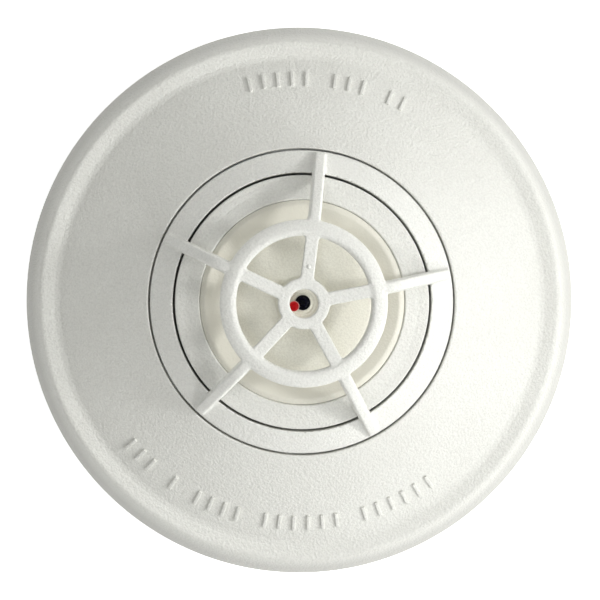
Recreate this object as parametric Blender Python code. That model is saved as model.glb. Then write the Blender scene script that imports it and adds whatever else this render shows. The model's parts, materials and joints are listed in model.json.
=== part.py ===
"""Low-profile mechanical heat detector on a twist-on bracket.

A rate-of-rise air chamber and a fixed-temperature plunger each close a pair of contacts. The back plane
of the bracket is z = 0 with its centre at the origin, +Z points out of the detecting face, and +Y runs
along one arm of the guard. Lengths below are in millimetres, and every mesh is scaled to metres as it is
made.
"""

import math

import bmesh
import bpy
from mathutils import Matrix, Vector

MM = 0.001
GAP = 0.3  # clearance between neighbouring pieces

# Facets round a full turn
BIG = 60
MID = 40
SMALL = 20
TINY = 12

# Front cover
COVER_R = 58.0  # widest point of the brim
BAND_Z = 18.3  # flat band round the brim
EDGE_SLOPE = 2.4  # width of the straight slope round the brim's edge
EDGE_DROP = 2.9  # height of the same slope
EDGE_TURN = 1.3  # width of the turn from the flat band into that slope
BAND_IN_R = 51.4
CONE_TOP_R = 31.2  # outer gap round the guard
CONE_TOP_Z = 28.9
CONE_FOOT_R = 50.4
CONE_FOOT_Z = 18.7
COVER_WALL = 2.2
COVER_SKIRT_R = 45.4
COVER_SKIRT_Z = 10.3
SKIRT_WALL = 1.6
COVER_LIP_Z = 26.4
COVER_BACK_Z = 12.0
POST_R = 3.0
POST_TOP_Z = 23.3

# Raised plain ribs on the brim, in groups
RIB_IN_R = 44.6
RIB_OUT_R = 47.8
RIB_WIDTH = 0.7
RIB_PROUD = 0.35
RIB_PITCH = 3.7  # degrees
TOP_GROUPS = (2, 3, 5)
BOTTOM_GROUPS = (3, 1, 4, 6, 6)

# Guard
ARMS = 5
GUARD_OUT_R = 30.8
GUARD_IN_R = 26.1
GUARD_FLANGE_R = 32.4
GUARD_BACK_Z = 24.6
GUARD_FLANGE_Z = 26.0
GUARD_OUT_Z = 28.9
GUARD_IN_Z = 31.7
WHEEL_IN_R = 13.2
WHEEL_OUT_R = 16.3
WHEEL_TOP_Z = 43.0
WHEEL_BACK_Z = 40.2
HUB_R = 5.0
HUB_HOLE_R = 2.8
SPOKE_WIDTH = 2.5
ARM_WIDTH = 2.0
SPOKE_TOP_Z = 42.6
SPOKE_BACK_Z = 40.6
ARM_TOP = ((20.0, 40.6), (24.5, 36.6), (28.2, 32.2))  # (radius, z) along the arm's outer side
ARM_BACK = ((27.4, 30.3), (25.9, 32.4), (23.6, 34.3), (20.0, 38.0))  # and back along its inner side

# Collar and air-chamber cap
COLLAR_OUT_R = 25.6
COLLAR_IN_R = 20.5
COLLAR_TOP_Z = 33.1
CAP_R = 20.2
CAP_IN_R = 19.0
CAP_BORE_R = 1.95
CAP_FLANGE_R = 22.9
CAP_FLANGE_Z = 17.6
CAP_TOP_WALL = 1.2

# Chassis plate and rear housing
CHASSIS_Z = 14.0
CHASSIS_TOP_Z = 16.0
CHASSIS_R = 43.3
GUIDE_R = 3.2
GUIDE_BORE_R = 1.5
GUIDE_TOP_Z = 19.0
OUTER_RING_R = 30.9  # raised ring under the guard
OUTER_RING_WALL = 1.4
INNER_RING_R = 24.0  # raised ring round the air chamber
INNER_RING_WALL = 1.2
INNER_RING_Z = 21.7
VENT_PLACE = (0, -12)
VENT_BORE_R = 1.3
HOUSING_R = 43.3
HOUSING_IN_R = 41.5
HOUSING_BACK_Z = 3.4
FLOOR_Z = 7.0
FLOOR_TOP_Z = 9.0
HOUSING_SCREWS = 3
HOUSING_SCREW_AT_R = 37.5
HOUSING_SCREW_FROM = 15.0  # degrees
HOUSING_SCREW_R = 1.3
SCREW_CLEARANCE_R = 1.7

# Bayonet between rear housing and bracket
BRACKET_R = 50.0
BRACKET_WALL = 1.8
BRACKET_FLOOR = 2.0
BRACKET_RIM_Z = 9.2
BRACKET_HOLE_R = 28.0
SLOT_WIDTH = 5.0
SLOT_FROM_R = 32.3
SLOT_TO_R = 47.2
CATCHES = 3
CATCH_FROM = 49.0  # degrees
CATCH_HALF = 9.0
HOOK_Z = 6.5
HOOK_TOP_Z = 8.5
HOOK_IN_R = 45.0
LUG_TOP_Z = 6.1
LUG_OUT_R = 47.6

# Fixed-temperature plunger
PLUNGER_R = 1.2
PLUNGER_FOOT_Z = 11.5
PLUNGER_TOP_Z = 34.2
PLUNGER_NECK_R = 0.9
PLUNGER_FLANGE_R = 2.8
PLUNGER_FLANGE_Z = 26.3
PLUNGER_FLANGE_TOP_Z = 27.1
COLLECTOR_R = 1.64
COLLECTOR_TOP_Z = 36.9
SPRING_R = 2.15
SPRING_WIRE_R = 0.3
SPRING_TURNS = 5
INDICATOR_ANGLE = 207.0
INDICATOR_STEM_AT = 2.55
INDICATOR_STEM_R = 0.3
INDICATOR_TIP_AT = 1.97
INDICATOR_TIP_R = 1.0
INDICATOR_TIP_Z = 38.0

# Contacts under the chassis plate
LEAF = 0.3  # thickness of a contact leaf
TRIP_HINGE_X = -10.3
TRIP_TIP_X = 4.4
TRIP_LEAF_Z = 10.9
RISE_X = 11.0  # centre of the rate-of-rise diaphragm
RISE_HINGE_X = 20.9
RISE_TIP_X = 7.8
RISE_LEAF_Z = 11.45
LEAF_HALF = 1.45
HOLDER_LENGTH = 4.0
HOLDER_HALF = 3.0
HOLDER_TOP_Z = 13.0
DIAPHRAGM_R = 6.8
DIAPHRAGM_HOLE_R = 5.0
SETTING_SCREW_X = 9.0
SETTING_BORE_R = 1.25

# Terminals in the back of the rear housing
TERMINAL_AT = 13.0
TERMINAL_HOLE_R = 1.9
TERMINAL_SCREW_R = 1.5
BARRIER_HALF = 0.7  # half thickness of the ribs between the terminals
BARRIER_FROM = 14.0
BARRIER_TO = 24.0

WHITE = ("white_plastic", (0.86, 0.86, 0.83), 0.55, 0.0)
CREAM = ("cream_plastic", (0.80, 0.78, 0.71), 0.60, 0.0)
BACK_WHITE = ("back_plastic", (0.78, 0.77, 0.73), 0.60, 0.0)
BLACK = ("black_element", (0.01, 0.01, 0.015), 0.12, 0.0)
RED = ("red_tip", (0.62, 0.02, 0.02), 0.35, 0.0)
BRASS = ("brass", (0.78, 0.60, 0.28), 0.30, 1.0)
STEEL = ("zinc_steel", (0.70, 0.70, 0.68), 0.35, 1.0)
SPRING_STEEL = ("spring_steel", (0.55, 0.55, 0.56), 0.30, 1.0)
SOLDER = ("fusible_alloy", (0.60, 0.61, 0.62), 0.40, 1.0)
RUBBER = ("black_rubber", (0.04, 0.04, 0.04), 0.80, 0.0)
BOARD = ("insulator", (0.34, 0.18, 0.08), 0.65, 0.0)


def clear_scene():
    for obj in list(bpy.data.objects):
        bpy.data.objects.remove(obj, do_unlink=True)


def material_for(look):
    name, colour, roughness, metallic = look
    made = bpy.data.materials.get(name)
    if made is None:
        made = bpy.data.materials.new(name)
        made.use_nodes = True
        shader = made.node_tree.nodes["Principled BSDF"]
        shader.inputs["Base Color"].default_value = (*colour, 1.0)
        shader.inputs["Roughness"].default_value = roughness
        shader.inputs["Metallic"].default_value = metallic
    return made


def polar(radius, degrees):
    return radius * math.cos(math.radians(degrees)), radius * math.sin(math.radians(degrees))


def arc(centre, radius, start, end, steps):
    """Points along an arc in an outline's own plane, both ends included."""
    points = []
    for i in range(steps + 1):
        x, y = polar(radius, start + (end - start) * i / steps)
        points.append((centre[0] + x, centre[1] + y))
    return points


def sector(inner, outer, start, end, steps=2):
    """Outline of a piece of a flat ring, from start to end degrees."""
    return arc((0, 0), outer, start, end, steps) + arc((0, 0), inner, end, start, steps)


def rectangle(low, high):
    return [(low[0], low[1]), (high[0], low[1]), (high[0], high[1]), (low[0], high[1])]


def circle(centre, radius, steps):
    return arc(centre, radius, 0, 360 * (steps - 1) / steps, steps - 1)


def add_turned(mesh, outline, facets, centre=(0, 0)):
    """Adds the closed outline of (radius, z) points turned round the vertical line through centre."""
    rings = []
    for radius, z in outline:
        if radius < 1e-6:
            point = mesh.verts.new((centre[0], centre[1], z))
            rings.append([point] * facets)
            continue
        ring = []
        for i in range(facets):
            x, y = polar(radius, 360 * i / facets)
            ring.append(mesh.verts.new((centre[0] + x, centre[1] + y, z)))
        rings.append(ring)
    for i, ring in enumerate(rings):
        after = rings[(i + 1) % len(rings)]
        for j in range(facets):
            k = (j + 1) % facets
            corners = list(dict.fromkeys((ring[j], ring[k], after[k], after[j])))
            if len(corners) > 2:
                mesh.faces.new(corners)


def add_prism(mesh, outline, low, high, place=None):
    """Adds the closed outline of (x, y) points extruded from low to high, moved by the matrix place."""
    place = place or Matrix()
    levels = [[mesh.verts.new(place @ Vector((x, y, z))) for x, y in outline] for z in (low, high)]
    mesh.faces.new(levels[0])
    mesh.faces.new(levels[1])
    for i in range(len(outline)):
        k = (i + 1) % len(outline)
        mesh.faces.new((levels[0][i], levels[0][k], levels[1][k], levels[1][i]))


def add_box(mesh, low, high):
    add_prism(mesh, rectangle(low[:2], high[:2]), low[2], high[2])


def standing(degrees):
    """Matrix that stands an (r, z) outline up in the radial plane at this angle, extruded across it."""
    return Matrix.Rotation(math.radians(degrees), 4, "Z") @ Matrix.Rotation(math.radians(90), 4, "X")


def finish(name, mesh, look, origin=(0, 0, 0)):
    """Makes the object, in metres, with its own origin at this point and its round faces shaded smooth."""
    bmesh.ops.recalc_face_normals(mesh, faces=mesh.faces)
    bmesh.ops.translate(mesh, verts=mesh.verts, vec=-Vector(origin))
    bmesh.ops.scale(mesh, verts=mesh.verts, vec=(MM, MM, MM))
    data = bpy.data.meshes.new(name)
    mesh.to_mesh(data)
    mesh.free()
    data.shade_smooth()
    data.set_sharp_from_angle(angle=math.radians(30))
    data.materials.append(material_for(look))
    obj = bpy.data.objects.new(name, data)
    obj.location = Vector(origin) * MM
    bpy.context.scene.collection.objects.link(obj)
    return obj


def helper(name, mesh):
    """A shape that only joins or cuts another, left out of the assembly."""
    obj = finish(name, mesh, BACK_WHITE)
    obj.hide_render = True
    obj.display_type = "WIRE"
    return obj


def boolean(obj, operation, other):
    modifier = obj.modifiers.new(other.name, "BOOLEAN")
    modifier.operation = operation
    modifier.object = other


def turned(name, outline, look, facets=MID, centre=(0, 0), origin=(0, 0, 0)):
    mesh = bmesh.new()
    add_turned(mesh, outline, facets, centre)
    return finish(name, mesh, look, origin)


def copies(source, places):
    """Evaluates source once, puts objects sharing its mesh at (name, (x, y)) places and drops source."""
    graph = bpy.context.evaluated_depsgraph_get()
    data = bpy.data.meshes.new_from_object(source.evaluated_get(graph))
    data.name = source.name
    bpy.data.objects.remove(source, do_unlink=True)
    for name, (x, y) in places:
        obj = bpy.data.objects.new(name, data)
        obj.location = Vector((x, y, 0)) * MM
        bpy.context.scene.collection.objects.link(obj)


def cone_z(radius):
    """Height of the cover's sloping field at this radius."""
    share = (radius - CONE_TOP_R) / (CONE_FOOT_R - CONE_TOP_R)
    return CONE_TOP_Z + share * (CONE_FOOT_Z - CONE_TOP_Z)


def under_cone_z(radius):
    slope = math.atan2(CONE_TOP_Z - CONE_FOOT_Z, CONE_FOOT_R - CONE_TOP_R)
    return cone_z(radius) - COVER_WALL / math.cos(slope)


def screw_places():
    step = 360 / HOUSING_SCREWS
    return [polar(HOUSING_SCREW_AT_R, HOUSING_SCREW_FROM + i * step) for i in range(HOUSING_SCREWS)]


def catch_angles():
    return [CATCH_FROM + i * 360 / CATCHES for i in range(CATCHES)]


def terminal_places():
    signs = ((1, 1), (-1, 1), (-1, -1), (1, -1))
    return [(TERMINAL_AT * x, TERMINAL_AT * y) for x, y in signs]


def rib_angles(groups, middle):
    """Angles of ribs one pitch apart, in groups with one pitch left free between them, centred on middle."""
    angles = []
    at = 0
    for count in groups:
        angles += [(at + i) * RIB_PITCH for i in range(count)]
        at += count + 1
    half = angles[-1] / 2
    return [middle - half + angle for angle in angles]


def make_bracket():
    inner_wall = BRACKET_R - BRACKET_WALL
    outline = [
        (BRACKET_HOLE_R, 0),
        (BRACKET_R - 0.6, 0),
        (BRACKET_R, 0.6),
        (BRACKET_R, BRACKET_RIM_Z),
        (inner_wall, BRACKET_RIM_Z),
        (inner_wall, BRACKET_FLOOR),
        (BRACKET_HOLE_R + 1.8, BRACKET_FLOOR),
        (BRACKET_HOLE_R + 1.8, BRACKET_FLOOR + 1.6),
        (BRACKET_HOLE_R, BRACKET_FLOOR + 1.6),
    ]
    bracket = turned("mounting_bracket", outline, BACK_WHITE)
    hooks = bmesh.new()
    stops = bmesh.new()
    wall_middle = BRACKET_R - BRACKET_WALL / 2
    for angle in catch_angles():
        hook = sector(HOOK_IN_R, wall_middle, angle - CATCH_HALF, angle + CATCH_HALF)
        add_prism(hooks, hook, HOOK_Z, HOOK_TOP_Z)
        stop = sector(HOOK_IN_R + 0.2, wall_middle, angle - CATCH_HALF - 1.9, angle - CATCH_HALF + 0.3, 1)
        add_prism(stops, stop, BRACKET_FLOOR - 1, HOOK_Z + 1)
    boolean(bracket, "UNION", helper("bracket_hooks", hooks))
    boolean(bracket, "UNION", helper("bracket_stops", stops))
    slots = bmesh.new()
    half = SLOT_WIDTH / 2
    for turn in range(4):
        ends = arc((SLOT_FROM_R + half, 0), half, 90, 270, 6) + arc((SLOT_TO_R - half, 0), half, -90, 90, 6)
        add_prism(slots, ends, -1, BRACKET_FLOOR + 1, Matrix.Rotation(math.radians(90 * turn), 4, "Z"))
    boolean(bracket, "DIFFERENCE", helper("bracket_slots", slots))


def make_rear_housing():
    outline = [
        (0, FLOOR_Z),
        (HOUSING_IN_R, FLOOR_Z),
        (HOUSING_IN_R, HOUSING_BACK_Z),
        (HOUSING_R, HOUSING_BACK_Z),
        (HOUSING_R, CHASSIS_Z - GAP),
        (HOUSING_IN_R, CHASSIS_Z - GAP),
        (HOUSING_IN_R, FLOOR_TOP_Z),
        (0, FLOOR_TOP_Z),
    ]
    housing = turned("rear_housing", outline, BACK_WHITE)
    extras = bmesh.new()
    for angle in catch_angles():
        lug = sector(HOUSING_IN_R + 0.9, LUG_OUT_R, angle - CATCH_HALF + 0.7, angle + CATCH_HALF - 1.3)
        add_prism(extras, lug, HOUSING_BACK_Z + 0.2, LUG_TOP_Z)
    low = HOUSING_BACK_Z + 0.4
    high = FLOOR_Z + 0.5
    add_box(extras, (-BARRIER_HALF, -BARRIER_TO, low), (BARRIER_HALF, BARRIER_TO, high))
    for start, end in ((BARRIER_FROM, BARRIER_TO), (-BARRIER_TO, -BARRIER_FROM)):
        add_box(extras, (start, -BARRIER_HALF, low), (end, BARRIER_HALF, high))
    boolean(housing, "UNION", helper("housing_extras", extras))
    holes = bmesh.new()
    for place in screw_places():
        add_prism(holes, circle(place, SCREW_CLEARANCE_R, TINY), FLOOR_Z - 1, FLOOR_TOP_Z + 1)
    for place in terminal_places():
        add_prism(holes, circle(place, TERMINAL_HOLE_R, TINY), FLOOR_Z - 1, FLOOR_TOP_Z + 1)
    add_prism(holes, circle((SETTING_SCREW_X, 0), SETTING_BORE_R, TINY), FLOOR_Z - 1, FLOOR_TOP_Z + 1)
    boolean(housing, "DIFFERENCE", helper("housing_holes", holes))


def make_chassis():
    outline = [
        (GUIDE_BORE_R, CHASSIS_Z),
        (CHASSIS_R, CHASSIS_Z),
        (CHASSIS_R, CHASSIS_TOP_Z),
        (OUTER_RING_R + OUTER_RING_WALL, CHASSIS_TOP_Z),
        (OUTER_RING_R + OUTER_RING_WALL, GUARD_BACK_Z - GAP),
        (OUTER_RING_R, GUARD_BACK_Z - GAP),
        (OUTER_RING_R, CHASSIS_TOP_Z),
        (INNER_RING_R + INNER_RING_WALL, CHASSIS_TOP_Z),
        (INNER_RING_R + INNER_RING_WALL, INNER_RING_Z),
        (INNER_RING_R, INNER_RING_Z),
        (INNER_RING_R, CHASSIS_TOP_Z),
        (GUIDE_R, CHASSIS_TOP_Z),
        (GUIDE_R, GUIDE_TOP_Z),
        (GUIDE_BORE_R, GUIDE_TOP_Z),
    ]
    chassis = turned("chassis_plate", outline, BACK_WHITE)
    holes = bmesh.new()
    low = CHASSIS_Z - 1
    high = CHASSIS_TOP_Z + 1
    for place in screw_places():
        add_prism(holes, circle(place, SCREW_CLEARANCE_R, TINY), low, high)
    add_prism(holes, circle((RISE_X, 0), DIAPHRAGM_HOLE_R, SMALL), low, high)
    add_prism(holes, circle(VENT_PLACE, VENT_BORE_R, TINY), low, high)
    boolean(chassis, "DIFFERENCE", helper("chassis_holes", holes))


def make_cover():
    slope_in_r = COVER_R - 0.4 - EDGE_SLOPE
    slope_top_z = BAND_Z - 0.4
    edge = [
        (COVER_R, COVER_BACK_Z + 0.6),
        (COVER_R, slope_top_z - EDGE_DROP - 0.7),
        (COVER_R - 0.4, slope_top_z - EDGE_DROP),
        (slope_in_r, slope_top_z),
        (slope_in_r - EDGE_TURN, BAND_Z),
    ]
    skirt_in = COVER_SKIRT_R - SKIRT_WALL
    inside_r = COVER_R - COVER_WALL
    outline = [
        (COVER_R - 0.5, COVER_BACK_Z),
        *edge,
        (BAND_IN_R, BAND_Z),
        (CONE_FOOT_R, CONE_FOOT_Z),
        (CONE_TOP_R, CONE_TOP_Z),
        (CONE_TOP_R, COVER_LIP_Z),
        (CONE_TOP_R + 2, COVER_LIP_Z),
        (CONE_TOP_R + 2, under_cone_z(CONE_TOP_R + 2)),
        (skirt_in, under_cone_z(skirt_in)),
        (skirt_in, COVER_SKIRT_Z),
        (COVER_SKIRT_R, COVER_SKIRT_Z),
        (COVER_SKIRT_R, under_cone_z(COVER_SKIRT_R)),
        (CONE_FOOT_R, BAND_Z - COVER_WALL),
        (inside_r - 1.6, BAND_Z - COVER_WALL),
        (inside_r, BAND_Z - COVER_WALL - 1.6),
        (inside_r, COVER_BACK_Z),
    ]
    cover = turned("front_cover", outline, WHITE, BIG)
    posts = bmesh.new()
    bores = bmesh.new()
    for place in screw_places():
        add_prism(posts, circle(place, POST_R, TINY), CHASSIS_TOP_Z + GAP, POST_TOP_Z)
        add_prism(bores, circle(place, SCREW_CLEARANCE_R, TINY), CHASSIS_TOP_Z - 1, POST_TOP_Z - 1.1)
    boolean(cover, "UNION", helper("cover_posts", posts))
    boolean(cover, "DIFFERENCE", helper("cover_bores", bores))
    ribs = bmesh.new()
    side = [
        (RIB_IN_R, cone_z(RIB_IN_R) - 0.6),
        (RIB_OUT_R, cone_z(RIB_OUT_R) - 0.6),
        (RIB_OUT_R, cone_z(RIB_OUT_R) + RIB_PROUD),
        (RIB_IN_R, cone_z(RIB_IN_R) + RIB_PROUD),
    ]
    for angle in rib_angles(TOP_GROUPS, 90) + rib_angles(BOTTOM_GROUPS, 270):
        add_prism(ribs, side, -RIB_WIDTH / 2, RIB_WIDTH / 2, standing(angle))
    boolean(cover, "UNION", helper("cover_ribs", ribs))


def make_guard():
    ring = [
        (GUARD_IN_R, GUARD_BACK_Z),
        (GUARD_FLANGE_R, GUARD_BACK_Z),
        (GUARD_FLANGE_R, GUARD_FLANGE_Z),
        (GUARD_OUT_R, GUARD_FLANGE_Z),
        (GUARD_OUT_R, GUARD_OUT_Z),
        (GUARD_IN_R, GUARD_IN_Z),
    ]
    guard = turned("guard_cage", ring, WHITE, BIG)
    middle = (WHEEL_IN_R + WHEEL_OUT_R) / 2
    crown = WHEEL_TOP_Z - 0.9
    wheel = [
        (WHEEL_IN_R, WHEEL_BACK_Z),
        (WHEEL_OUT_R, WHEEL_BACK_Z),
        (WHEEL_OUT_R, crown),
        (middle + 0.9, WHEEL_TOP_Z),
        (middle - 0.9, WHEEL_TOP_Z),
        (WHEEL_IN_R, crown),
    ]
    hub = [
        (HUB_HOLE_R, WHEEL_BACK_Z),
        (HUB_R, WHEEL_BACK_Z),
        (HUB_R, WHEEL_TOP_Z - 0.3),
        (HUB_HOLE_R, WHEEL_TOP_Z - 0.3),
    ]
    rounds = bmesh.new()
    add_turned(rounds, wheel, BIG)
    add_turned(rounds, hub, SMALL)
    boolean(guard, "UNION", helper("guard_rounds", rounds))
    spokes = bmesh.new()
    arms = bmesh.new()
    spoke = rectangle((HUB_HOLE_R + 1, SPOKE_BACK_Z), (middle, SPOKE_TOP_Z))
    foot = GUARD_OUT_R - 0.1
    top = [(middle, SPOKE_TOP_Z - 0.2), *ARM_TOP, (foot, GUARD_OUT_Z + 0.3)]
    back = [(foot, GUARD_FLANGE_Z + 1), *ARM_BACK, (middle, SPOKE_BACK_Z - 0.2)]
    for i in range(ARMS):
        place = standing(90 + i * 360 / ARMS)
        add_prism(spokes, spoke, -SPOKE_WIDTH / 2, SPOKE_WIDTH / 2, place)
        add_prism(arms, top + back, -ARM_WIDTH / 2, ARM_WIDTH / 2, place)
    boolean(guard, "UNION", helper("guard_spokes", spokes))
    boolean(guard, "UNION", helper("guard_arms", arms))


def make_collar():
    outline = [
        (COLLAR_IN_R, 19.3),
        (22.6, 19.3),
        (22.6, 30.2),
        (24.2, 29.6),
        (24.2, 22.0),
        (COLLAR_OUT_R, 22.0),
        (COLLAR_OUT_R, 31.9),
        (23.4, 32.3),
        (COLLAR_IN_R + 0.4, COLLAR_TOP_Z),
        (COLLAR_IN_R, COLLAR_TOP_Z - 0.2),
    ]
    turned("collar_ring", outline, WHITE)


def make_chamber():
    outline = [
        (CAP_FLANGE_R, CAP_FLANGE_Z),
        (CAP_FLANGE_R, CAP_FLANGE_Z + 1.4),
        (CAP_R, CAP_FLANGE_Z + 1.4),
        (CAP_R, 32.4),
        (CAP_R - 0.9, 33.2),
        (16.0, 32.9),
        (9.0, 33.8),
        (5.0, 34.2),
        (4.6, 36.0),
        (3.4, 36.2),
        (2.8, 35.8),
        (2.5, 35.3),
        (CAP_BORE_R, 35.0),
        (CAP_BORE_R, 31.0),
        (3.8, 31.0),
        (3.8, 34.2 - CAP_TOP_WALL),
        (9.0, 33.8 - CAP_TOP_WALL),
        (16.0, 32.9 - CAP_TOP_WALL),
        (CAP_IN_R, 32.6 - CAP_TOP_WALL),
        (CAP_IN_R, CAP_FLANGE_Z),
    ]
    cap = turned("chamber_cap", outline, CREAM)
    notch = bmesh.new()
    turn = Matrix.Rotation(math.radians(INDICATOR_ANGLE), 4, "Z")
    add_prism(notch, rectangle((CAP_BORE_R - 0.6, -0.6), (INDICATOR_STEM_AT + 0.6, 0.6)), 30, 37, turn)
    boolean(cap, "DIFFERENCE", helper("cap_notch", notch))
    gasket = rectangle((20.6, CHASSIS_TOP_Z + GAP), (23.4, CAP_FLANGE_Z - GAP))
    turned("chamber_gasket", gasket, RUBBER)
    vent = [(0, 13.3), (1.0, 13.3), (1.0, 16.3), (1.9, 16.3), (1.9, 17.1), (0, 17.1)]
    turned("vent_plug", vent, BRASS, TINY, VENT_PLACE)


def make_plunger():
    pin = [
        (0, PLUNGER_FOOT_Z),
        (PLUNGER_R, PLUNGER_FOOT_Z),
        (PLUNGER_R, PLUNGER_FLANGE_Z),
        (PLUNGER_FLANGE_R, PLUNGER_FLANGE_Z),
        (PLUNGER_FLANGE_R, PLUNGER_FLANGE_TOP_Z),
        (PLUNGER_NECK_R, PLUNGER_FLANGE_TOP_Z),
        (PLUNGER_NECK_R, PLUNGER_TOP_Z),
        (0, PLUNGER_TOP_Z),
    ]
    turned("plunger_pin", pin, BRASS, SMALL)
    collector = [
        (0, PLUNGER_TOP_Z + GAP),
        (PLUNGER_NECK_R, PLUNGER_TOP_Z + GAP),
        (PLUNGER_NECK_R, 35.5),
        (COLLECTOR_R, 35.6),
        (COLLECTOR_R, 36.2),
        (1.2, 36.65),
        (0.6, 36.85),
        (0, COLLECTOR_TOP_Z),
    ]
    turned("heat_collector", collector, BLACK, SMALL)
    fusible = rectangle((PLUNGER_NECK_R + 0.25, 31.6), (CAP_BORE_R - 0.2, 33.2))
    turned("fusible_ring", fusible, SOLDER, SMALL)
    x, y = polar(INDICATOR_TIP_AT, INDICATOR_ANGLE)
    tip = arc((0, INDICATOR_TIP_Z), INDICATOR_TIP_R, -90, 90, 6)
    indicator = turned("indicator_pin", tip, RED, TINY, (x, y))
    stem = bmesh.new()
    at = polar(INDICATOR_STEM_AT, INDICATOR_ANGLE)
    add_prism(stem, circle(at, INDICATOR_STEM_R, 8), PLUNGER_FLANGE_TOP_Z + GAP, INDICATOR_TIP_Z)
    boolean(indicator, "UNION", helper("indicator_stem", stem))


def make_spring():
    """Compression spring between the chassis guide and the plunger's flange."""
    low = GUIDE_TOP_Z + GAP + SPRING_WIRE_R
    high = PLUNGER_FLANGE_Z - GAP - SPRING_WIRE_R
    data = bpy.data.curves.new("plunger_spring", "CURVE")
    data.dimensions = "3D"
    data.bevel_depth = SPRING_WIRE_R * MM
    data.bevel_resolution = 1
    data.use_fill_caps = True
    steps = SPRING_TURNS * 10
    wire = data.splines.new("POLY")
    wire.points.add(steps)
    for i, point in enumerate(wire.points):
        x, y = polar(SPRING_R, 360 * SPRING_TURNS * i / steps)
        point.co = (x * MM, y * MM, (low + (high - low) * i / steps) * MM, 1)
    data.materials.append(material_for(SPRING_STEEL))
    bpy.context.scene.collection.objects.link(bpy.data.objects.new("plunger_spring", data))


def make_trip_contacts():
    """Contacts that close when the plunger rises and lets its leaf follow."""
    leaf = bmesh.new()
    low = (TRIP_HINGE_X + 0.1, -LEAF_HALF, TRIP_LEAF_Z)
    add_box(leaf, low, (TRIP_TIP_X, LEAF_HALF, TRIP_LEAF_Z + LEAF))
    finish("trip_contact_leaf", leaf, BRASS, (TRIP_HINGE_X, 0, TRIP_LEAF_Z + LEAF / 2))
    holder = bmesh.new()
    end = TRIP_HINGE_X - GAP
    add_box(holder, (end - HOLDER_LENGTH, -HOLDER_HALF, FLOOR_TOP_Z + GAP), (end, HOLDER_HALF, HOLDER_TOP_Z))
    finish("trip_leaf_holder", holder, BOARD)
    fixed = bmesh.new()
    top = CHASSIS_Z - GAP
    side = [(-1.5, top - 0.35), (10.6, top - 0.35), (10.6, FLOOR_TOP_Z + GAP), (11.4, FLOOR_TOP_Z + GAP)]
    side += [(11.4, top), (-1.5, top)]
    add_prism(fixed, side, 1.9, 4.9, Matrix(((0, 0, 1, 0), (1, 0, 0, 0), (0, 1, 0, 0), (0, 0, 0, 1))))
    finish("trip_fixed_contact", fixed, BRASS)


def make_rise_contacts():
    """Diaphragm under the air chamber and the contacts that it closes when the air heats fast."""
    centre = (RISE_X, 0)
    low = CHASSIS_TOP_Z + GAP
    film = 0.25
    wave = [(DIAPHRAGM_R, 0), (5.2, 0), (4.2, 0.5), (3.2, 0), (0, 0)]
    below = [(radius, low + rise) for radius, rise in wave]
    above = [(radius, low + rise + film) for radius, rise in reversed(wave)]
    turned("diaphragm", below + above, RUBBER, 28, centre)
    ring = rectangle((5.6, low + film + GAP), (7.0, low + film + GAP + 1.3))
    turned("diaphragm_clamp_ring", ring, STEEL, 28, centre)
    foot = RISE_LEAF_Z + LEAF + GAP + 0.05
    pin = [(0, foot), (0.8, foot), (0.8, 15.2), (1.8, 15.2), (1.8, 15.9), (0, 15.9)]
    turned("diaphragm_pin", pin, BACK_WHITE, TINY, centre, (RISE_X, 0, foot))
    leaf = bmesh.new()
    high = (RISE_HINGE_X - 0.1, LEAF_HALF, RISE_LEAF_Z + LEAF)
    add_box(leaf, (RISE_TIP_X, -LEAF_HALF, RISE_LEAF_Z), high)
    finish("rise_contact_leaf", leaf, BRASS, (RISE_HINGE_X, 0, RISE_LEAF_Z + LEAF / 2))
    holder = bmesh.new()
    start = RISE_HINGE_X + GAP
    end = start + HOLDER_LENGTH
    add_box(holder, (start, -HOLDER_HALF, FLOOR_TOP_Z + GAP), (end, HOLDER_HALF, HOLDER_TOP_Z))
    finish("rise_leaf_holder", holder, BOARD)
    fixed = bmesh.new()
    add_box(fixed, (7.6, -10.5, 10.0), (10.6, 1.5, 10.3))
    finish("rise_fixed_contact", fixed, BRASS)
    screw = [(0, 5.6), (1.6, 5.6), (1.6, FLOOR_Z - GAP), (0.9, FLOOR_Z - GAP), (0.9, 9.7), (0, 9.7)]
    turned("setting_screw", screw, BRASS, TINY, (SETTING_SCREW_X, 0))


def make_screw_copies(name, outline, slot_z, places):
    """Pan-head screws with a cross recess in the head that faces the wall."""
    screw = turned(name + "_pattern", outline, STEEL, 16)
    recess = bmesh.new()
    add_prism(recess, cross_outline(1.5, 0.35), slot_z - 1, slot_z + 0.8)
    cutter = helper(name + "_recess", recess)
    boolean(screw, "DIFFERENCE", cutter)
    copies(screw, [(f"{name}_{i + 1}", place) for i, place in enumerate(places)])
    bpy.data.objects.remove(cutter, do_unlink=True)


def cross_outline(reach, half):
    """A plus sign."""
    quarter = [(reach, -half), (reach, half), (half, half)]
    points = []
    for turn in range(4):
        spin = Matrix.Rotation(math.radians(90 * turn), 2)
        points += [tuple(spin @ Vector(point)) for point in quarter]
    return points


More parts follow.
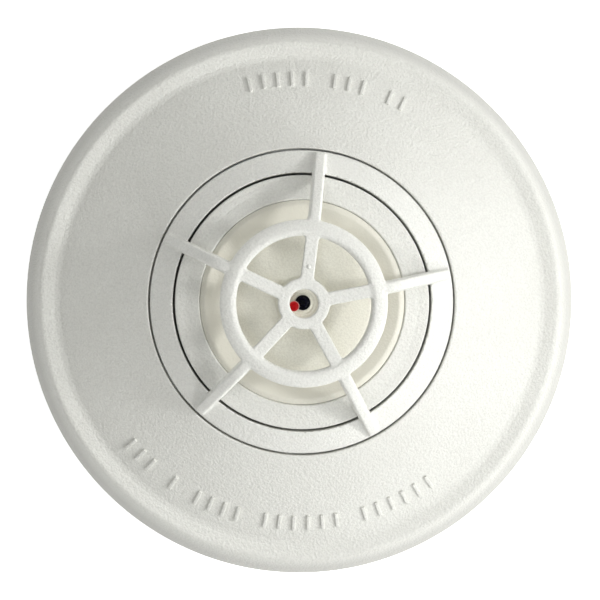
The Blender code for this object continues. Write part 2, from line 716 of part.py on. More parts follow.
def make_terminals():
    places = terminal_places()
    plate = bmesh.new()
    add_box(plate, (-4, -4, FLOOR_Z - GAP - 0.7), (4, 4, FLOOR_Z - GAP))
    clamp = bmesh.new()
    add_box(clamp, (-3.4, -3.4, 4.9), (3.4, 3.4, 5.7))
    bore = bmesh.new()
    add_prism(bore, circle((0, 0), TERMINAL_HOLE_R, TINY), 4, 8)
    cutter = helper("terminal_bore", bore)
    for name, mesh, look in (("terminal_plate", plate, BRASS), ("wire_clamp", clamp, STEEL)):
        pattern = finish(name + "_pattern", mesh, look)
        boolean(pattern, "DIFFERENCE", cutter)
        copies(pattern, [(f"{name}_{i + 1}", place) for i, place in enumerate(places)])
    bpy.data.objects.remove(cutter, do_unlink=True)
    head = 2.8
    outline = [
        (0, head),
        (2.1, head),
        (2.9, head + 0.7),
        (2.9, head + 1.8),
        (TERMINAL_SCREW_R, head + 1.8),
        (TERMINAL_SCREW_R, 11.0),
        (0, 11.0),
    ]
    make_screw_copies("terminal_screw", outline, head, places)


def make_housing_screws():
    head = 4.9
    under = FLOOR_Z - GAP
    outline = [
        (0, head),
        (2.0, head),
        (2.7, head + 0.6),
        (2.7, under),
        (HOUSING_SCREW_R, under),
        (HOUSING_SCREW_R, 21.6),
        (0, 21.6),
    ]
    make_screw_copies("housing_screw", outline, head, screw_places())


def main():
    clear_scene()
    make_bracket()
    make_rear_housing()
    make_chassis()
    make_cover()
    make_guard()
    make_collar()
    make_chamber()
    make_plunger()
    make_spring()
    make_trip_contacts()
    make_rise_contacts()
    make_terminals()
    make_housing_screws()


main()
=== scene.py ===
"""Looks of the low-profile mechanical heat detector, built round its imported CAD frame.

Outlines are (radius, height) in millimetres in the frame of the CAD: the bracket's back plane is z = 0, +Z
leaves the detecting face and +Y runs along one arm of the guard. Every mesh is made in millimetres and then
scaled to metres.
"""

import json
import math

import bmesh
import bpy
from mathutils import Matrix, Vector


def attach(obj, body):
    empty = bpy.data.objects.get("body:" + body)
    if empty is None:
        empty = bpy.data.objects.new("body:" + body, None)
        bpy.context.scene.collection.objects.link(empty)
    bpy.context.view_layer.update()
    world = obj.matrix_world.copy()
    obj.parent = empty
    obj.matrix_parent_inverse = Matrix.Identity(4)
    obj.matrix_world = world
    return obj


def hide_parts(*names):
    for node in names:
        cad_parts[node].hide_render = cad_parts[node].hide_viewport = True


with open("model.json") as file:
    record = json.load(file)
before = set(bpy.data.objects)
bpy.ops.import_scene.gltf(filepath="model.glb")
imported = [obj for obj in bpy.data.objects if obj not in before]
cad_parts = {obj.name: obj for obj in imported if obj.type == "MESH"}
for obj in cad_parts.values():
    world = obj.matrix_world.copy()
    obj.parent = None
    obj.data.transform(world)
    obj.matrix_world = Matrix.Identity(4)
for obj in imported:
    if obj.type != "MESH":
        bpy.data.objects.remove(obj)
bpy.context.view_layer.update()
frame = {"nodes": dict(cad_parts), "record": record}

MM = 0.001
LIGHT_DISTANCE = 1.5
TURN = 7.2  # degrees that the camera is turned about +Z, so that the +Y arm leans to the right
ARMS = 5
FINE = 192  # facets round the large mouldings
COARSE = 48  # and round the small ones
SHARP = 40  # degrees between faces above which an edge stays crisp
CAD_SHARP = 35  # the same for the carried-over nodes of the CAD
INDICATOR_ANGLE = 207  # degrees from +X at which the red tip and its notch stand
TIP_Z = 38.0  # centre of the red tip
TERMINAL_HOLE_R = 1.9

# Sloping field of the cover, from the gap round the guard to the fillet at the flat band
CONE_TOP = (31.2, 28.95)
CONE_FOOT = (50.5, 18.5)


# ---------------------------------------------------------------- shapes

def polar(radius, degrees):
    return radius * math.cos(math.radians(degrees)), radius * math.sin(math.radians(degrees))


def rounded(corners, steps=5):
    """Closed outline with each (x, y, fillet radius) corner rounded by a curve tangent to its sides."""
    points = []
    for i, (x, y, radius) in enumerate(corners):
        here = Vector((x, y))
        before = Vector(corners[i - 1][:2]) - here
        after = Vector(corners[(i + 1) % len(corners)][:2]) - here
        if radius <= 0:
            points.append((x, y))
            continue
        half = before.angle(after) / 2
        reach = min(radius / math.tan(half), 0.49 * before.length, 0.49 * after.length)
        start = here + before.normalized() * reach
        end = here + after.normalized() * reach
        for k in range(steps + 1):
            t = k / steps
            # a quadratic curve through the corner's two tangent points, close to a circular arc
            points.append(tuple(start * (1 - t) ** 2 + here * 2 * t * (1 - t) + end * t ** 2))
    return points


def curved(points, steps=6):
    """Smooth open path through the points."""
    path = [Vector(p) for p in points]
    ends = [path[0] * 2 - path[1], *path, path[-1] * 2 - path[-2]]
    out = []
    for i in range(1, len(ends) - 2):
        a, b, c, d = ends[i - 1:i + 3]
        for k in range(steps):
            t = k / steps
            out.append(tuple(0.5 * (2 * b + (c - a) * t + (2 * a - 5 * b + 4 * c - d) * t ** 2
                                    + (3 * b - a - 3 * c + d) * t ** 3)))
    out.append(tuple(path[-1]))
    return out


def add_turned(mesh, outline, facets, centre=(0, 0)):
    rings = []
    for radius, z in outline:
        if radius < 1e-6:
            rings.append([mesh.verts.new((centre[0], centre[1], z))] * facets)
            continue
        ring = []
        for i in range(facets):
            x, y = polar(radius, 360 * i / facets)
            ring.append(mesh.verts.new((centre[0] + x, centre[1] + y, z)))
        rings.append(ring)
    for i, ring in enumerate(rings):
        after = rings[(i + 1) % len(rings)]
        for j in range(facets):
            k = (j + 1) % facets
            corners = list(dict.fromkeys((ring[j], ring[k], after[k], after[j])))
            if len(corners) > 2:
                mesh.faces.new(corners)


def add_prism(mesh, outline, low, high, place=None):
    place = place or Matrix()
    levels = [[mesh.verts.new(place @ Vector((x, y, z))) for x, y in outline] for z in (low, high)]
    mesh.faces.new(levels[0])
    mesh.faces.new(levels[1])
    for i in range(len(outline)):
        k = (i + 1) % len(outline)
        mesh.faces.new((levels[0][i], levels[0][k], levels[1][k], levels[1][i]))


def add_tapered(mesh, top, back, half_top, half_back, place):
    """Bar between an upper and a lower path of as many points, wider along the lower one."""
    rings = []
    for (x, y), (u, v) in zip(top, back):
        corners = ((x, y, -half_top), (x, y, half_top), (u, v, half_back), (u, v, -half_back))
        rings.append([mesh.verts.new(place @ Vector(corner)) for corner in corners])
    mesh.faces.new(rings[0])
    mesh.faces.new(rings[-1])
    for ring, after in zip(rings, rings[1:]):
        for j in range(4):
            k = (j + 1) % 4
            mesh.faces.new((ring[j], ring[k], after[k], after[j]))


def add_soft_box(mesh, low, high, edge, place=None):
    """Box with rounded edges, moved by the matrix place."""
    place = place or Matrix()
    box = bmesh.new()
    bmesh.ops.create_cube(box, size=1)
    for vert in box.verts:
        vert.co = Vector([(a + b) / 2 + c * (b - a) for a, b, c in zip(low, high, vert.co)])
    bmesh.ops.bevel(box, geom=box.edges, offset=edge, segments=3, profile=0.5, affect="EDGES")
    bmesh.ops.transform(box, matrix=place, verts=box.verts)
    found = {v: mesh.verts.new(v.co) for v in box.verts}
    for face in box.faces:
        mesh.faces.new([found[v] for v in face.verts])
    box.free()


def turned_by(degrees):
    return Matrix.Rotation(math.radians(degrees), 4, "Z")


def standing(degrees):
    """Stands an (r, z) outline up in the radial plane at this angle, extruded across it."""
    return turned_by(degrees) @ Matrix.Rotation(math.radians(90), 4, "X")


def sector(inner, outer, start, end, steps=12):
    out = [polar(outer, start + (end - start) * i / steps) for i in range(steps + 1)]
    back = [polar(inner, end + (start - end) * i / steps) for i in range(steps + 1)]
    return out + back


def stadium(start, end, half, steps=8):
    """Slot along X from start to end with round ends."""
    points = []
    for i in range(steps + 1):
        x, y = polar(half, 90 + 180 * i / steps)
        points.append((start + half + x, y))
    for i in range(steps + 1):
        x, y = polar(half, -90 + 180 * i / steps)
        points.append((end - half + x, y))
    return points


def finish_mesh(name, mesh, sharp=SHARP):
    bmesh.ops.recalc_face_normals(mesh, faces=mesh.faces)
    bmesh.ops.scale(mesh, verts=mesh.verts, vec=(MM, MM, MM))
    data = bpy.data.meshes.new(name)
    mesh.to_mesh(data)
    mesh.free()
    data.shade_smooth()
    if sharp:
        data.set_sharp_from_angle(angle=math.radians(sharp))
    obj = bpy.data.objects.new(name, data)
    bpy.context.scene.collection.objects.link(obj)
    return obj


def turned(name, outline, facets, centre=(0, 0)):
    mesh = bmesh.new()
    add_turned(mesh, outline, facets, centre)
    return finish_mesh(name, mesh)


def apply_modifiers(obj):
    graph = bpy.context.evaluated_depsgraph_get()
    data = bpy.data.meshes.new_from_object(obj.evaluated_get(graph))
    old = obj.data
    obj.modifiers.clear()
    obj.data = data
    bpy.data.meshes.remove(old)


def combine(obj, *steps):
    """Applies (operation, mesh) Booleans to the object in order."""
    for operation, mesh in steps:
        tool = finish_mesh("tool", mesh, 0)
        modifier = obj.modifiers.new("join", "BOOLEAN")
        modifier.operation = operation
        modifier.object = tool
        apply_modifiers(obj)
        bpy.data.objects.remove(tool, do_unlink=True)
    obj.data.shade_smooth()
    obj.data.set_sharp_from_angle(angle=math.radians(SHARP))


def blend_moulding(obj, voxel, rounds):
    """Fuses crossing shells into one skin whose inner and outer corners are softly rounded."""
    remesh = obj.modifiers.new("skin", "REMESH")
    remesh.mode = "VOXEL"
    remesh.voxel_size = voxel * MM
    remesh.use_smooth_shade = True
    smooth = obj.modifiers.new("soften", "SMOOTH")
    smooth.factor = 0.5
    smooth.iterations = rounds
    apply_modifiers(obj)
    obj.data.shade_smooth()


def append_mesh(obj, mesh):
    """Adds loose shells to an object without joining them."""
    extra = finish_mesh("extra", mesh)
    whole = bmesh.new()
    whole.from_mesh(obj.data)
    whole.from_mesh(extra.data)
    whole.to_mesh(obj.data)
    whole.free()
    bpy.data.objects.remove(extra, do_unlink=True)


# ---------------------------------------------------------------- materials

class Nodes:
    """Short names for building one material's node tree."""

    def __init__(self, name):
        self.material = bpy.data.materials.new(name)
        self.material.use_nodes = True
        self.tree = self.material.node_tree
        self.shader = self.tree.nodes["Principled BSDF"]
        self.place = self.add("ShaderNodeTexCoord").outputs["Object"]

    def add(self, kind, **settings):
        node = self.tree.nodes.new(kind)
        for key, value in settings.items():
            setattr(node, key, value)
        return node

    def link(self, source, target):
        self.tree.links.new(source, target)

    def noise(self, size_mm, detail=2.0, roughness=0.5, stretch=None):
        """Noise whose features are about this many millimetres across."""
        node = self.add("ShaderNodeTexNoise")
        node.inputs["Scale"].default_value = 1 / (size_mm * MM)
        node.inputs["Detail"].default_value = detail
        node.inputs["Roughness"].default_value = roughness
        source = self.place
        if stretch:
            mapping = self.add("ShaderNodeMapping")
            mapping.inputs["Scale"].default_value = stretch
            self.link(self.place, mapping.inputs["Vector"])
            source = mapping.outputs["Vector"]
        self.link(source, node.inputs["Vector"])
        return node.outputs["Fac"]

    def cells(self, size_mm):
        node = self.add("ShaderNodeTexVoronoi")
        node.inputs["Scale"].default_value = 1 / (size_mm * MM)
        self.link(self.place, node.inputs["Vector"])
        return node.outputs["Distance"]

    def spread(self, source, low, high, out_low, out_high):
        node = self.add("ShaderNodeMapRange")
        for key, value in (("From Min", low), ("From Max", high), ("To Min", out_low), ("To Max", out_high)):
            node.inputs[key].default_value = value
        self.link(source, node.inputs["Value"])
        return node.outputs["Result"]

    def mix(self, factor, first, second):
        """Colour from first to second by the factor's socket; each is a colour or a socket."""
        node = self.add("ShaderNodeMix", data_type="RGBA")
        self.link(factor, node.inputs["Factor"])
        for key, value in (("A", first), ("B", second)):
            socket = next(s for s in node.inputs if s.name == key and s.type == "RGBA")
            if isinstance(value, tuple):
                socket.default_value = (*value, 1)
            else:
                self.link(value, socket)
        return next(s for s in node.outputs if s.type == "RGBA")

    def maths(self, operation, first, second):
        node = self.add("ShaderNodeMath", operation=operation)
        for i, value in enumerate((first, second)):
            if isinstance(value, (int, float)):
                node.inputs[i].default_value = value
            else:
                self.link(value, node.inputs[i])
        return node.outputs["Value"]

    def bump(self, height, depth_mm):
        node = self.add("ShaderNodeBump")
        node.inputs["Distance"].default_value = depth_mm * MM
        node.inputs["Strength"].default_value = 1.0
        self.link(height, node.inputs["Height"])
        return node.outputs["Normal"]

    def near_radius(self, radius_mm, width_mm):
        """From 1 at this distance from the object's axis to 0 this far to either side of it."""
        flat = self.add("ShaderNodeVectorMath", operation="MULTIPLY")
        flat.inputs[1].default_value = (1 / MM, 1 / MM, 0)
        self.link(self.place, flat.inputs[0])
        length = self.add("ShaderNodeVectorMath", operation="LENGTH")
        self.link(flat.outputs["Vector"], length.inputs[0])
        off = self.maths("ABSOLUTE", self.maths("SUBTRACT", length.outputs["Value"], radius_mm), 0)
        return self.spread(off, width_mm * 0.35, width_mm, 1, 0)

    def set(self, key, value):
        socket = self.shader.inputs[key]
        if isinstance(value, bpy.types.NodeSocket):
            self.link(value, socket)
        else:
            socket.default_value = value


def textured_plastic(name, colour, shade, grain_mm, depth_mm, rough, rings=()):
    """Moulded plastic with a spark-eroded skin, a slow mottle and rings of painted shade given as (radius,
    width, tone).
    """
    n = Nodes(name)
    grain = n.noise(grain_mm, 3.0, 0.55)
    pits = n.cells(grain_mm * 1.7)
    slow = n.noise(14.0, 3.0)
    mottle = n.mix(n.spread(slow, 0.35, 0.7, 0, 1), colour, shade)
    speckle_and_painted_shade = n.mix(n.spread(grain, 0.32, 0.60, 0.55, 0.0), mottle, tuple(c * 0.84 for c in shade))
    # Painted shade: each ring darkens the colour towards tone times the shade colour, fading out to either
    # side of its radius.
    for radius_mm, width_mm, tone in rings:
        speckle_and_painted_shade = n.mix(n.near_radius(radius_mm, width_mm), speckle_and_painted_shade, tuple(c * tone for c in shade))
    n.set("Base Color", speckle_and_painted_shade)
    n.set("Roughness", n.spread(grain, 0.3, 0.7, rough + 0.10, rough - 0.06))
    n.set("Specular IOR Level", 0.45)
    height = n.maths("ADD", n.maths("MULTIPLY", grain, 0.75), n.maths("MULTIPLY", pits, 0.35))
    n.set("Normal", n.bump(height, depth_mm))
    return n.material


def plain_plastic(name, colour, shade, rough):
    """Smooth moulded plastic with flow marks and a few fine scuffs."""
    n = Nodes(name)
    slow = n.noise(9.0, 4.0)
    scuffs = n.noise(0.35, 2.0, 0.5, (1.0, 0.12, 1.0))
    n.set("Base Color", n.mix(n.spread(slow, 0.35, 0.7, 0, 1), colour, shade))
    n.set("Roughness", n.spread(scuffs, 0.35, 0.65, rough - 0.07, rough + 0.08))
    n.set("Normal", n.bump(n.maths("ADD", scuffs, slow), 0.012))
    return n.material


def plated(name, colour, shade, rough, grain=(1.0, 1.0, 0.08)):
    """Metal with drawn or turned marks and dull patches."""
    n = Nodes(name)
    marks = n.noise(0.12, 3.0, 0.6, grain)
    patches = n.noise(1.6, 3.0)
    body = n.mix(n.spread(patches, 0.35, 0.7, 0, 1), colour, shade)
    n.set("Base Color", body)
    n.set("Metallic", 1.0)
    n.set("Roughness", n.maths("ADD", n.spread(patches, 0.3, 0.7, rough, rough + 0.16),
                               n.spread(marks, 0.3, 0.7, -0.04, 0.05)))
    n.set("Normal", n.bump(marks, 0.008))
    return n.material


def gloss(name, colour, shade, rough, shine, ripple_mm=0.6):
    n = Nodes(name)
    ripple = n.noise(ripple_mm, 2.0)
    n.set("Base Color", n.mix(n.spread(ripple, 0.35, 0.65, 0, 1), colour, shade))
    n.set("Roughness", n.spread(ripple, 0.3, 0.7, rough, rough + 0.08))
    n.set("Specular IOR Level", shine)
    n.set("Normal", n.bump(ripple, 0.01))
    return n.material


def rubber(name):
    n = Nodes(name)
    bloom = n.noise(0.8, 4.0)
    share = n.spread(bloom, 0.4, 0.7, 0, 1)
    n.set("Base Color", n.mix(share, (0.028, 0.028, 0.028), (0.06, 0.06, 0.058)))
    n.set("Roughness", n.spread(bloom, 0.3, 0.7, 0.7, 0.88))
    n.set("Normal", n.bump(bloom, 0.02))
    return n.material


def phenolic(name):
    n = Nodes(name)
    fibre = n.noise(0.25, 4.0, 0.6, (1.0, 0.2, 1.0))
    n.set("Base Color", n.mix(fibre, (0.22, 0.10, 0.04), (0.42, 0.23, 0.11)))
    n.set("Roughness", n.spread(fibre, 0.3, 0.7, 0.5, 0.7))
    n.set("Normal", n.bump(fibre, 0.02))
    return n.material


LOOKS = {
    # The ring at 58 mm on the white plastic is painted shade on the brim's outer slope.
    "white_plastic": textured_plastic("white_skin", (0.81, 0.813, 0.768), (0.78, 0.78, 0.735),
                                      0.40, 0.20, 0.5, ((58.0, 3.8, 0.74),)),
    # Painted light: a lighter copy of the white plastic, so the raised guard looks more brightly lit than
    # the cover.
    "guard_plastic_painted_light": textured_plastic("guard_skin_painted_light", (0.85, 0.853, 0.81), (0.82, 0.823, 0.78),
                                      0.40, 0.17, 0.5),
    # The ring at 18.3 mm on the cream plastic is painted shade in the hollow between the guard's wheel and
    # the collar.
    "cream_plastic": textured_plastic("cream_skin", (0.86, 0.852, 0.757), (0.83, 0.81, 0.71),
                                      0.36, 0.11, 0.55, ((18.3, 2.6, 0.89),)),
    "back_plastic": plain_plastic("back_skin", (0.76, 0.755, 0.72), (0.72, 0.715, 0.675), 0.5),
    "black_element": gloss("black_bead", (0.0, 0.0, 0.002), (0.001, 0.001, 0.008), 0.10, 0.08),
    "red_tip": gloss("red_bead", (0.62, 0.0, 0.004), (0.46, 0.0, 0.003), 0.35, 0.15, 0.35),
    # Painted highlight: this pink stands in for the light rim on the red tip.
    "pink_highlight_seat": gloss("pink_highlight_bead", (0.80, 0.50, 0.48), (0.76, 0.40, 0.38), 0.3, 0.5),
    "brass": plated("brass_metal", (0.80, 0.60, 0.27), (0.66, 0.46, 0.20), 0.26),
    "zinc_steel": plated("zinc_metal", (0.72, 0.72, 0.70), (0.60, 0.60, 0.56), 0.28, (1.0, 1.0, 0.3)),
    "spring_steel": plated("wire_metal", (0.56, 0.56, 0.57), (0.42, 0.42, 0.43), 0.24),
    "fusible_alloy": plated("alloy_metal", (0.60, 0.61, 0.62), (0.46, 0.46, 0.45), 0.36),
    "black_rubber": rubber("rubber_skin"),
    "insulator": phenolic("phenolic_board"),
}


def dress(obj, look):
    """Gives the whole piece one finish."""
    obj.data.materials.clear()
    obj.data.materials.append(LOOKS[look])
    for face in obj.data.polygons:
        face.material_index = 0


def place_piece(obj, body, slot, *nodes, look=None):
    """Attaches a piece to its body, hides the nodes it replaces and gives it the slot's look unless one is
    named.
    """
    dress(obj, look or slot)
    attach(obj, body)
    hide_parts(*nodes)


# ---------------------------------------------------------------- front mouldings

def cone_z(radius):
    share = (radius - CONE_TOP[0]) / (CONE_FOOT[0] - CONE_TOP[0])
    return CONE_TOP[1] + share * (CONE_FOOT[1] - CONE_TOP[1])


def rib_angles(groups, middle, pitch=3.7):
    angles = []
    at = 0
    for count in groups:
        angles += [(at + i) * pitch for i in range(count)]
        at += count + 1
    return [middle - angles[-1] / 2 + angle for angle in angles]


def make_cover():
    """Brim, flat band, sloping field and inner skirt, with plain raised ribs where letters stood."""
    profile = rounded([
        (58.0, 12.0, 0.6),
        (58.0, 14.1, 0.5),
        (54.5, 18.3, 1.8),
        (51.5, 18.3, 0.6),
        (*CONE_FOOT, 4.0),
        (*CONE_TOP, 0.35),
        (31.2, 26.4, 0.0),
        (33.2, 26.4, 0.0),
        (33.2, 25.4, 0.0),
        (43.8, 19.7, 0.3),
        (43.8, 10.3, 0.4),
        (45.4, 10.3, 0.4),
        (45.4, 18.6, 0.5),
        (50.6, 16.1, 0.8),
        (53.8, 16.1, 0.8),
        (55.7, 14.3, 0.8),
        (55.8, 12.0, 0.4),
    ], 7)
    cover = turned("cover_shell", profile, FINE)
    ribs = bmesh.new()
    slope = math.atan2(CONE_TOP[1] - CONE_FOOT[1], CONE_FOOT[0] - CONE_TOP[0])
    middle = 46.2
    lift = Matrix.Translation((middle, 0, cone_z(middle))) @ Matrix.Rotation(slope, 4, "Y")
    for angle in rib_angles((2, 3, 5), 90) + rib_angles((3, 1, 4, 6, 6), 270):
        add_soft_box(ribs, (-1.8, -0.36, -0.5), (1.8, 0.36, 0.45), 0.12, turned_by(angle) @ lift)
    append_mesh(cover, ribs)
    place_piece(cover, "head", "white_plastic", "front_cover")


def make_guard():
    """Outer ring, arms, wheel, spokes and hub fused into one moulding."""
    mesh = bmesh.new()
    ring = [(26.1, 24.6), (32.4, 24.6), (32.4, 26.0), (30.8, 26.0), (30.8, 29.0), (26.1, 31.75)]
    add_turned(mesh, ring, FINE)
    wheel = rounded([
        (13.2, 40.2, 0.3),
        (16.4, 40.2, 0.3),
        (16.4, 42.15, 0.4),
        (15.2, 42.72, 1.5),
        (13.95, 43.03, 1.2),
        (13.2, 42.6, 0.4),
    ])
    add_turned(mesh, wheel, FINE)
    hub = rounded([(2.8, 41.2, 0.0), (5.05, 41.2, 0.0), (5.05, 42.75, 0.2), (2.8, 42.75, 0.2)])
    add_turned(mesh, hub, COARSE)
    top = curved([(14.75, 42.55), (16.4, 42.2), (18.2, 41.65), (20.5, 40.4), (24.5, 36.8),
                  (28.2, 32.8), (30.6, 30.1)])
    back = curved([(14.75, 40.4), (17.4, 39.5), (20.0, 38.2), (23.6, 34.6), (25.9, 32.5),
                   (27.4, 30.2), (30.6, 27.0)])
    for i in range(ARMS):
        place = standing(90 + 360 * i / ARMS)
        add_prism(mesh, [(3.9, 41.2), (14.75, 41.0), (14.75, 42.7), (3.9, 42.7)], -1.3, 1.3, place)
        add_tapered(mesh, top, back, 0.92, 1.4, place)
    guard = finish_mesh("guard_moulding", mesh)
    blend_moulding(guard, 0.29, 1)
    pip = bmesh.new()
    dome = [(0, 42.95), (0.22, 42.9), (0.42, 42.76), (0.5, 42.55), (0.5, 42.2), (0, 42.2)]
    add_turned(pip, dome, COARSE, (0, 7.2))
    append_mesh(guard, pip)
    # The guard wears the lighter copy of the white plastic, which is painted light.
    place_piece(guard, "head", "white_plastic", "guard_cage", look="guard_plastic_painted_light")


def make_collar():
    inside = [(20.5, 19.3, 0.2), (22.6, 19.3, 0.2), (22.6, 30.0, 0.3), (24.2, 29.4, 0.3), (24.2, 22.0, 0.2)]
    outside = [(25.6, 22.0, 0.2), (25.6, 31.95, 0.4), (23.4, 32.28, 3.0), (20.85, 33.0, 0.12),
               (20.6, 32.75, 0.1)]
    outline = rounded(inside + outside)
    place_piece(turned("collar_moulding", outline, FINE), "head", "white_plastic", "collar_ring")


def make_cap():
    """Cream air-chamber cap with a stepped well round the heat collector."""
    outline = rounded([
        (22.9, 17.6, 0.2),
        (22.9, 19.0, 0.2),
        (20.2, 19.0, 0.2),
        (20.2, 30.8, 0.1),
        (20.5, 31.1, 0.0),
        (20.5, 32.75, 0.1),
        (19.5, 33.4, 0.9),
        (16.4, 32.5, 2.0),
        (13.6, 33.75, 2.0),
        (5.3, 34.2, 0.5),
        (4.7, 36.3, 0.35),
        (3.0, 36.3, 0.15),
        (2.75, 36.0, 0.08),
        (2.35, 35.95, 0.08),
        (2.25, 35.75, 0.05),
        (1.85, 35.7, 0.05),
        (1.75, 35.98, 0.06),
        (1.53, 35.98, 0.05),
        (1.53, 35.2, 0.0),
        (1.95, 35.0, 0.0),
        (1.95, 31.0, 0.0),
        (3.8, 31.0, 0.0),
        (3.8, 33.0, 0.3),
        (12.0, 32.4, 0.0),
        (19.0, 30.6, 0.4),
        (19.0, 17.6, 0.2),
    ])
    cap = turned("cap_moulding", outline, FINE)
    notch = bmesh.new()
    corners = [(1.35, -0.6), (3.15, -0.6), (3.15, 0.6), (1.35, 0.6)]
    add_prism(notch, corners, 30, 37, turned_by(INDICATOR_ANGLE))
    combine(cap, ("DIFFERENCE", notch))
    place_piece(cap, "head", "cream_plastic", "chamber_cap")


def make_collector():
    dome = [(0, 36.9), (0.42, 36.87), (0.8, 36.76), (1.12, 36.6), (1.34, 36.42), (1.46, 36.2), (1.5, 36.0)]
    rest = [(1.5, 35.65), (1.42, 35.55), (0.95, 35.5), (0.9, 35.4), (0.9, 34.5), (0, 34.5)]
    place_piece(turned("collector_bead", dome + rest, COARSE), "plunger", "black_element", "heat_collector")


def make_indicator():
    """Red tip on a thin stem that rises from the plunger's flange."""
    mesh = bmesh.new()
    tip = [polar(1.0, 90 - 15 * i) for i in range(13)]
    add_turned(mesh, [(r, TIP_Z + z) for r, z in tip], COARSE, polar(1.97, INDICATOR_ANGLE))
    stem = rounded([(0, 27.4, 0), (0.3, 27.4, 0.05), (0.3, TIP_Z, 0), (0, TIP_Z, 0)])
    add_turned(mesh, stem, 24, polar(2.55, INDICATOR_ANGLE))
    indicator = finish_mesh("indicator_flag", mesh)
    place_piece(indicator, "plunger", "red_tip", "indicator_pin")
    # Painted highlight: a pink cup under the red tip stands in for the light rim round it.
    cup = rounded([(0, 37.4, 0), (0.9, 37.4, 0.1), (1.14, 37.9, 0.2), (0, 37.9, 0)])
    seat = turned("indicator_highlight_seat", cup, COARSE, polar(1.9, INDICATOR_ANGLE))
    seat.data.materials.append(LOOKS["pink_highlight_seat"])
    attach(seat, "plunger")


# ---------------------------------------------------------------- back mouldings

def catch_angles():
    return [49.0 + 120 * i for i in range(3)]


def make_bracket():
    outline = rounded([
        (28.0, 0.0, 0.4),
        (50.0, 0.0, 0.8),
        (50.0, 9.2, 0.4),
        (48.2, 9.2, 0.4),
        (48.2, 2.0, 0.6),
        (29.8, 2.0, 0.4),
        (29.8, 3.6, 0.4),
        (28.0, 3.6, 0.4),
    ])
    bracket = turned("bracket_moulding", outline, FINE)
    hooks = bmesh.new()
    stops = bmesh.new()
    for angle in catch_angles():
        add_prism(hooks, sector(45.0, 49.1, angle - 9, angle + 9), 6.5, 8.5)
        add_prism(stops, sector(45.2, 49.1, angle - 10.9, angle - 8.7, 3), 1.0, 7.5)
    slots = bmesh.new()
    for turn in range(4):
        add_prism(slots, stadium(32.3, 47.2, 2.5), -1, 3, turned_by(90 * turn))
    combine(bracket, ("UNION", hooks), ("UNION", stops), ("DIFFERENCE", slots))
    place_piece(bracket, "bracket", "back_plastic", "mounting_bracket")


def make_housing():
    outline = rounded([
        (0, 7.0, 0),
        (41.5, 7.0, 0.5),
        (41.5, 3.4, 0.3),
        (43.3, 3.4, 0.4),
        (43.3, 13.7, 0.3),
        (41.5, 13.7, 0.3),
        (41.5, 9.0, 0.4),
        (0, 9.0, 0),
    ])
    housing = turned("housing_moulding", outline, FINE)
    extras = bmesh.new()
    for angle in catch_angles():
        add_prism(extras, sector(42.4, 47.6, angle - 8.3, angle + 7.7), 3.6, 6.1)
    add_soft_box(extras, (-0.7, -24, 3.8), (0.7, 24, 7.5), 0.25)
    for side in (-1, 1):
        low, high = sorted((14 * side, 24 * side))
        add_soft_box(extras, (low, -0.7, 3.8), (high, 0.7, 7.5), 0.25)
    holes = bmesh.new()
    for x, y in terminal_places():
        add_bore(holes, (x, y), TERMINAL_HOLE_R, 6, 10)
    for i in range(3):
        add_bore(holes, polar(37.5, 15 + 120 * i), 1.7, 6, 10)
    add_bore(holes, (9, 0), 1.25, 6, 10)
    combine(housing, ("UNION", extras), ("DIFFERENCE", holes))
    place_piece(housing, "head", "back_plastic", "rear_housing")


def add_bore(mesh, centre, radius, low, high, steps=32):
    """Round cutter standing at this centre."""
    around = [polar(radius, 360 * i / steps) for i in range(steps)]
    add_prism(mesh, [(centre[0] + x, centre[1] + y) for x, y in around], low, high)


def terminal_places():
    return [(13 * x, 13 * y) for x, y in ((1, 1), (-1, 1), (-1, -1), (1, -1))]


def make_terminals():
    for i, (x, y) in enumerate(terminal_places(), 1):
        at = Matrix.Translation((x, y, 0))
        plate = bmesh.new()
        add_soft_box(plate, (-4, -4, 6.0), (4, 4, 6.7), 0.12, at)
        plate_piece = finish_mesh(f"terminal_strip_{i}", plate)
        bore = bmesh.new()
        add_bore(bore, (x, y), TERMINAL_HOLE_R, 4, 8)
        combine(plate_piece, ("DIFFERENCE", bore))
        place_piece(plate_piece, "head", "brass", f"terminal_plate_{i}")
        clamp = bmesh.new()
        add_soft_box(clamp, (-3.4, -3.4, 4.9), (3.4, 3.4, 5.7), 0.2, at)
        clamp_piece = finish_mesh(f"clamp_washer_{i}", clamp)
        bore = bmesh.new()
        add_bore(bore, (x, y), TERMINAL_HOLE_R, 4, 8)
        combine(clamp_piece, ("DIFFERENCE", bore))
        place_piece(clamp_piece, "head", "zinc_steel", f"wire_clamp_{i}")
        head = rounded([(0, 2.8, 0), (2.4, 2.8, 0.9), (2.9, 4.6, 0.15), (1.5, 4.6, 0), (1.5, 11.0, 0.3),
                        (0, 11.0, 0)])
        screw_piece = turned(f"binding_screw_{i}", head, COARSE, (x, y))
        recess = bmesh.new()
        add_prism(recess, cross(1.5, 0.35), 1.8, 3.7, at @ turned_by(25 * i))
        combine(screw_piece, ("DIFFERENCE", recess))
        place_piece(screw_piece, "head", "zinc_steel", f"terminal_screw_{i}")


def cross(reach, half):
    points = []
    for turn in range(4):
        spin = Matrix.Rotation(math.radians(90 * turn), 2)
        points += [tuple(spin @ Vector(p)) for p in ((reach, -half), (reach, half), (half, half))]
    return points


def dress_inner_nodes():
    slots = {part["node"]: part["material_slot"] for part in frame["record"]["subparts"]}
    for name, node in frame["nodes"].items():
        node.data.materials.clear()
        node.data.materials.append(LOOKS[slots[name]])
        node.data.shade_smooth()
        node.data.set_sharp_from_angle(angle=math.radians(CAD_SHARP))


# ---------------------------------------------------------------- stage

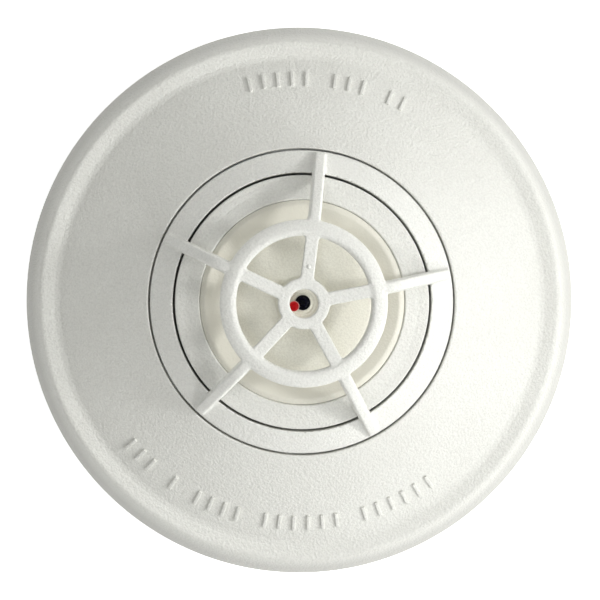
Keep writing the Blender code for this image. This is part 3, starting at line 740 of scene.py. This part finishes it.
def add_light(name, azimuth, elevation, size, power, colour=(1, 1, 1)):
    """Square area light; azimuth is counted in the picture, from its right-hand side."""
    data = bpy.data.lights.new(name, "AREA")
    data.size = size
    data.energy = power
    data.color = colour
    light = bpy.data.objects.new(name, data)
    flat = LIGHT_DISTANCE * math.cos(math.radians(elevation))
    x, y = polar(flat, azimuth + TURN)
    light.location = (x, y, LIGHT_DISTANCE * math.sin(math.radians(elevation)))
    light.rotation_euler = (-light.location).to_track_quat("-Z", "Y").to_euler()
    bpy.context.scene.collection.objects.link(light)


def make_floor():
    mesh = bmesh.new()
    bmesh.ops.create_circle(mesh, cap_ends=True, radius=2000, segments=64)
    floor = finish_mesh("floor", mesh)
    n = Nodes("pale_floor")
    n.set("Base Color", n.mix(n.noise(60.0), (0.94, 0.94, 0.935), (0.96, 0.96, 0.955)))
    n.set("Roughness", 0.9)
    n.set("Emission Color", (1, 1, 1, 1))
    n.set("Emission Strength", 0.6)
    floor.data.materials.append(n.material)


def make_sky(horizon, zenith):
    """Warm room light, weak at the horizon and strong from above."""
    world = bpy.data.worlds.new("studio")
    world.use_nodes = True
    tree = world.node_tree
    background = tree.nodes["Background"]
    background.inputs["Color"].default_value = (1.0, 0.99, 0.94, 1)
    split = tree.nodes.new("ShaderNodeSeparateXYZ")
    tree.links.new(tree.nodes.new("ShaderNodeTexCoord").outputs["Generated"], split.inputs["Vector"])
    fade = tree.nodes.new("ShaderNodeMapRange")
    fade.inputs["To Min"].default_value = horizon
    fade.inputs["To Max"].default_value = zenith
    tree.links.new(split.outputs["Z"], fade.inputs["Value"])
    tree.links.new(fade.outputs["Result"], background.inputs["Strength"])
    bpy.context.scene.world = world


def make_stage():
    make_floor()
    make_sky(0.02, 0.72)
    add_light("window", -7, 36, 1.2, 7.7)
    add_light("key", 2, 33, 0.2, 7.8)
    add_light("side", -54, 35, 0.2, 4.4)
    add_light("corner", 48, 34, 0.6, 0.8)
    add_light("glint", 200, 80, 0.06, 0.5, (0.25, 0.45, 1.0))
    bpy.context.scene.view_settings.view_transform = "Standard"


def make_camera():
    data = bpy.data.cameras.new("camera")
    data.lens = 93.2
    data.sensor_width = 36
    data.shift_x = 0.0875
    data.shift_y = -0.063
    data.clip_start = 0.01
    camera = bpy.data.objects.new("camera", data)
    camera.location = (-0.0119, 0.0066, 0.3445)
    camera.rotation_euler = (0, 0, math.radians(TURN))
    bpy.context.scene.collection.objects.link(camera)
    bpy.context.scene.camera = camera


dress_inner_nodes()
make_cover()
make_guard()
make_collar()
make_cap()
make_collector()
make_indicator()
make_bracket()
make_housing()
make_terminals()
make_stage()
make_camera()
